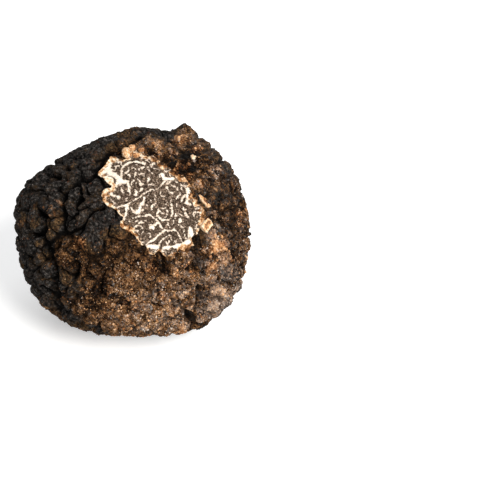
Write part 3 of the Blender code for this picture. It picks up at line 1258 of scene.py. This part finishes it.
def truffle_look():
    """Charcoal rind under patches of soil, and the cut window with its rim."""
    look = Look("truffle_skin")
    share, soil, cut = (look.attribute(name) for name in ("share", "soil", "cut"))
    rim = look.scaled(look.noise(1.1, 4, 0.6), 2.6, look.attribute("rim"))
    cut_colour = look.mix(look.ease(rim, 1.62, 1.80), flesh_colour(look), rim_colour(look))
    soil_share = look.scaled(look.noise(0.8, 4), 0.9, look.math("SUBTRACT", soil, 0.45))
    soil_share = look.ease(soil_share, 0.22, 0.55)
    # Painted shade: the soil is painted darker down the warts' sides and darkest in the grooves, less so
    # where it lies thick.
    deepest_painted_shade = look.scaled(soil, -0.40, 0.95)
    painted_hollow_shade = look.ease(share, 0.05, 0.70, deepest_painted_shade, 0.0)
    soil_with_painted_shade = look.mix(painted_hollow_shade, soil_colour(look), (0.008, 0.005, 0.003))
    skin = look.mix(soil_share, rind_colour(look, share), soil_with_painted_shade)
    is_cut = look.ease(cut, -0.01, 0.03)
    look.set(Base_Color=look.mix(is_cut, skin, cut_colour))
    skin_gloss = look.ease(look.noise(0.9, 3), 0.3, 0.7, 0.55, 0.90)
    cut_gloss = look.ease(look.noise(0.5, 2), 0.3, 0.7, 0.40, 0.65)
    look.set(Roughness=look.mix(is_cut, skin_gloss, cut_gloss))
    look.set(Specular_IOR_Level=0.03)
    crumbs, _ = look.cells(0.35)
    rough = look.scaled(crumbs, -0.8, look.noise(0.25, 4, 0.7))
    skin_bump = look.math("MULTIPLY", rough, look.ease(cut, -0.01, 0.03, 1.0, 0.35))
    look.set(Normal=look.bump(skin_bump, 0.20, 1.0))
    return look.material


def grain_look(name):
    """Grains from nearly black to pale, and from grey through brown to orange."""
    look = Look(name)
    tint = look.scaled(look.noise(0.16, 3), 0.30, look.attribute("tint"))
    hue = look.attribute("hue")
    grey, brown, orange = (look.ramp(tint, *zip(GRAIN_STOPS, colours)) for colours in GRAIN_COLOURS)
    greyed = look.mix(look.ease(hue, 0.20, 0.45, 1.0, 0.0), brown, grey)
    look.set(Base_Color=look.mix(look.ease(hue, 0.52, 0.80), greyed, orange))
    look.set(Roughness=look.ease(look.noise(0.4, 2), 0.3, 0.7, 0.50, 0.90), Specular_IOR_Level=0.12)
    look.set(Normal=look.bump(look.noise(0.09, 3), 0.03, 0.7))
    return look.material


def chip_look():
    """Torn crumbs, from cream through orange-brown to dark brown."""
    look = Look("rim_chips_look")
    mottle = look.scaled(look.noise(0.45, 5, 0.75), 2.4, -0.75)
    brown = look.math("ADD", mottle, look.attribute("brown"))
    look.set(
        Base_Color=look.ramp(
            brown,
            (0.20, (0.860, 0.780, 0.640)),
            (0.55, (0.760, 0.490, 0.270)),
            (0.80, (0.560, 0.250, 0.085)),
            (1.00, (0.150, 0.060, 0.024)),
        )
    )
    look.set(Roughness=look.ease(look.noise(0.4, 2), 0.3, 0.7, 0.45, 0.75), Specular_IOR_Level=0.35)
    look.set(Normal=look.bump(look.noise(0.18, 4, 0.7), 0.08, 0.9))
    return look.material


# ---- Stage, lights and camera ----


def make_floor():
    bpy.ops.mesh.primitive_plane_add(size=FLOOR_SIZE, location=(0, 0, -FLOOR_GAP))
    floor = bpy.context.object
    floor.name = "floor"
    look = Look("pale_floor")
    look.set(Base_Color=FLOOR_COLOUR, Roughness=0.9, Specular_IOR_Level=0.0)
    seen = look.new("LightPath").outputs["Is Camera Ray"]
    look.set(Emission_Color=(1.0, 1.0, 1.0), Emission_Strength=look.math("MULTIPLY", seen, FLOOR_GLOW))
    floor.data.materials.append(look.material)


def make_world():
    """A white surround that the camera sees brighter than it lights the truffle."""
    world = bpy.data.worlds.new("studio")
    bpy.context.scene.world = world
    world.use_nodes = True
    background = world.node_tree.nodes["Background"]
    background.inputs["Color"].default_value = (1.0, 1.0, 1.0, 1)
    links, nodes = world.node_tree.links, world.node_tree.nodes
    path = nodes.new("ShaderNodeLightPath")
    strength = nodes.new("ShaderNodeMapRange")
    strength.inputs["To Min"].default_value = FILL_STRENGTH
    strength.inputs["To Max"].default_value = BACKDROP_STRENGTH
    links.new(path.outputs["Is Camera Ray"], strength.inputs["Value"])
    links.new(strength.outputs["Result"], background.inputs["Strength"])


def aim(thing, target):
    """Turns a camera or a light toward a point."""
    direction = Vector(target) - thing.location
    thing.rotation_euler = direction.to_track_quat("-Z", "Y").to_euler()


def make_sun(name, azimuth, elevation, strength, angle, colour):
    light = bpy.data.lights.new(name, "SUN")
    light.energy = strength
    light.angle = math.radians(angle)
    light.color = colour
    lamp = bpy.data.objects.new(name, light)
    lamp.location = Vector(toward(azimuth, elevation)) * 0.5
    bpy.context.scene.collection.objects.link(lamp)
    aim(lamp, (0, 0, 0))


def make_camera(middle):
    camera = bpy.data.cameras.new("camera")
    camera.lens = LENS
    camera.sensor_width = SENSOR
    camera.clip_start = 0.01
    camera.clip_end = 20
    holder = bpy.data.objects.new("camera", camera)
    bpy.context.scene.collection.objects.link(holder)
    target = middle + (VIEW_RIGHT * VIEW_SHIFT[0] + VIEW_UP * VIEW_SHIFT[1]) * MM
    distance = LENS / SENSOR * FRAME_WIDTH * MM
    holder.location = Vector(target + VIEW_OUT * distance)
    aim(holder, target)
    bpy.context.scene.camera = holder


def main():
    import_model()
    body, surface = make_body()
    body.data.materials.append(truffle_look())
    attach(body, "root")
    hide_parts("truffle")
    for kind in LOOSE_SOIL:
        cloud = make_grains(surface, *kind)
        cloud.data.materials.append(grain_look(cloud.name + "_look"))
        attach(cloud, "root")
    chips = make_chips(surface)
    chips.data.materials.append(chip_look())
    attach(chips, "root")
    make_floor()
    make_world()
    for sun in SUNS:
        make_sun(*sun)
    low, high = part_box("truffle")
    make_camera(np.array((low + high) / 2))
    bpy.context.scene.view_settings.view_transform = "Standard"


main()
